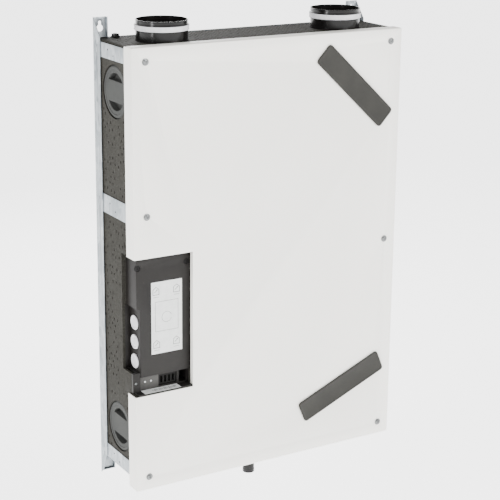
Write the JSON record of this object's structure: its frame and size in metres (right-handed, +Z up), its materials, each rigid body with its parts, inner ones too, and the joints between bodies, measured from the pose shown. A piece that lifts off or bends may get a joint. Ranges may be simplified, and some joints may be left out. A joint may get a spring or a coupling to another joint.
{
  "type": "heat recovery unit",
  "caption": "Slim wall-hung heat recovery ventilation unit: foam body, white steel front, duct spigots, filters, fans and a control box.",
  "frame": {"origin": "on the wall plane, behind the middle of the front panel", "axes": "+Z up, +Y into the wall, the front panel faces -Y, +X to the right as seen from the room"},
  "size_m": [0.746, 0.2063, 1.1952],
  "materials": {
    "white_panel": "satin white powder coat",
    "foam_body": "dark grey moulded bead foam, matt",
    "cover_plastic": "matt dark grey",
    "black_plastic": "glossy black",
    "box_plastic": "satin black-brown",
    "zinc_steel": "galvanised, dull",
    "white_seal": "white, soft",
    "screw_steel": "zinc plated",
    "filter_board": "card",
    "filter_media": "pleated fleece",
    "exchanger_plastic": "clear grey plastic film",
    "wheel_plastic": "satin",
    "motor_metal": "cast, satin",
    "circuit_board": "solder mask"
  },
  "bodies": {
    "casing": {"front_panel": "white_panel", "panel_screw_1": "screw_steel", "panel_screw_2": "screw_steel", "panel_screw_3": "screw_steel", "panel_screw_4": "screw_steel", "panel_screw_5": "screw_steel", "panel_screw_6": "screw_steel", "rail_left": "zinc_steel", "rail_right": "zinc_steel", "strap_left_top": "zinc_steel", "strap_left_middle": "zinc_steel", "strap_left_bottom": "zinc_steel", "strap_right_top": "zinc_steel", "strap_right_middle": "zinc_steel", "strap_right_bottom": "zinc_steel", "body_front": "foam_body", "body_back": "foam_body", "exchanger_core": "exchanger_plastic", "exchanger_end_front": "exchanger_plastic", "exchanger_end_back": "exchanger_plastic", "exchanger_seal_left": "foam_body", "exchanger_seal_right": "foam_body", "fan_housing_upper": "black_plastic", "fan_housing_lower": "black_plastic", "fan_motor_upper": "motor_metal", "fan_motor_lower": "motor_metal", "spigot_top_left": "black_plastic", "spigot_top_right": "black_plastic", "spigot_bottom_left": "black_plastic", "spigot_bottom_right": "black_plastic", "seal_band_top_left": "white_seal", "seal_band_top_right": "white_seal", "seal_band_bottom_left": "white_seal", "seal_band_bottom_right": "white_seal", "port_plug_left_lower": "foam_body", "port_plug_left_upper": "foam_body", "port_plug_right_lower": "foam_body", "port_plug_right_upper": "foam_body", "control_base": "box_plastic", "control_lid": "box_plastic", "supply_socket": "box_plastic", "control_board": "circuit_board", "cable_grommet_1": "white_seal", "cable_grommet_2": "white_seal", "cable_grommet_3": "white_seal", "control_screw": "screw_steel", "condensate_tray": "black_plastic", "drain_stub": "black_plastic", "top_gland": "black_plastic"},
    "fan_wheel_upper": {"fan_wheel_upper": "wheel_plastic"},
    "fan_wheel_lower": {"fan_wheel_lower": "wheel_plastic"},
    "cover_upper": {"filter_cover_upper": "cover_plastic", "cover_plug_upper": "foam_body"},
    "cover_lower": {"filter_cover_lower": "cover_plastic", "cover_plug_lower": "foam_body"},
    "filter_upper": {"filter_frame_upper": "filter_board", "filter_media_upper": "filter_media"},
    "filter_lower": {"filter_frame_lower": "filter_board", "filter_media_lower": "filter_media"}
  },
  "joints": [
    {"name": "fan_wheel_upper_spin", "type": "hinge", "parent": "casing", "child": "fan_wheel_upper", "pos_m": [-0.055, -0.066, 0.365], "axis": [0, 1, 0], "continuous": true},
    {"name": "fan_wheel_lower_spin", "type": "hinge", "parent": "casing", "child": "fan_wheel_lower", "pos_m": [-0.077, -0.066, -0.375], "axis": [0, 1, 0], "continuous": true},
    {"name": "cover_upper_slide", "type": "slide", "parent": "casing", "child": "cover_upper", "axis": [0, -1, 0], "range_m": [0, 0.36]},
    {"name": "filter_upper_slide", "type": "slide", "parent": "casing", "child": "filter_upper", "axis": [0, -1, 0], "range_m": [0, 0.18]},
    {"name": "cover_lower_slide", "type": "slide", "parent": "casing", "child": "cover_lower", "axis": [0, -1, 0], "range_m": [0, 0.36]},
    {"name": "filter_lower_slide", "type": "slide", "parent": "casing", "child": "filter_lower", "axis": [0, -1, 0], "range_m": [0, 0.18]}
  ],
  "couplings": [
    {"joint": "filter_upper_slide", "follows": "cover_upper_slide", "ratio": 0.5},
    {"joint": "filter_lower_slide", "follows": "cover_lower_slide", "ratio": 0.5}
  ]
}
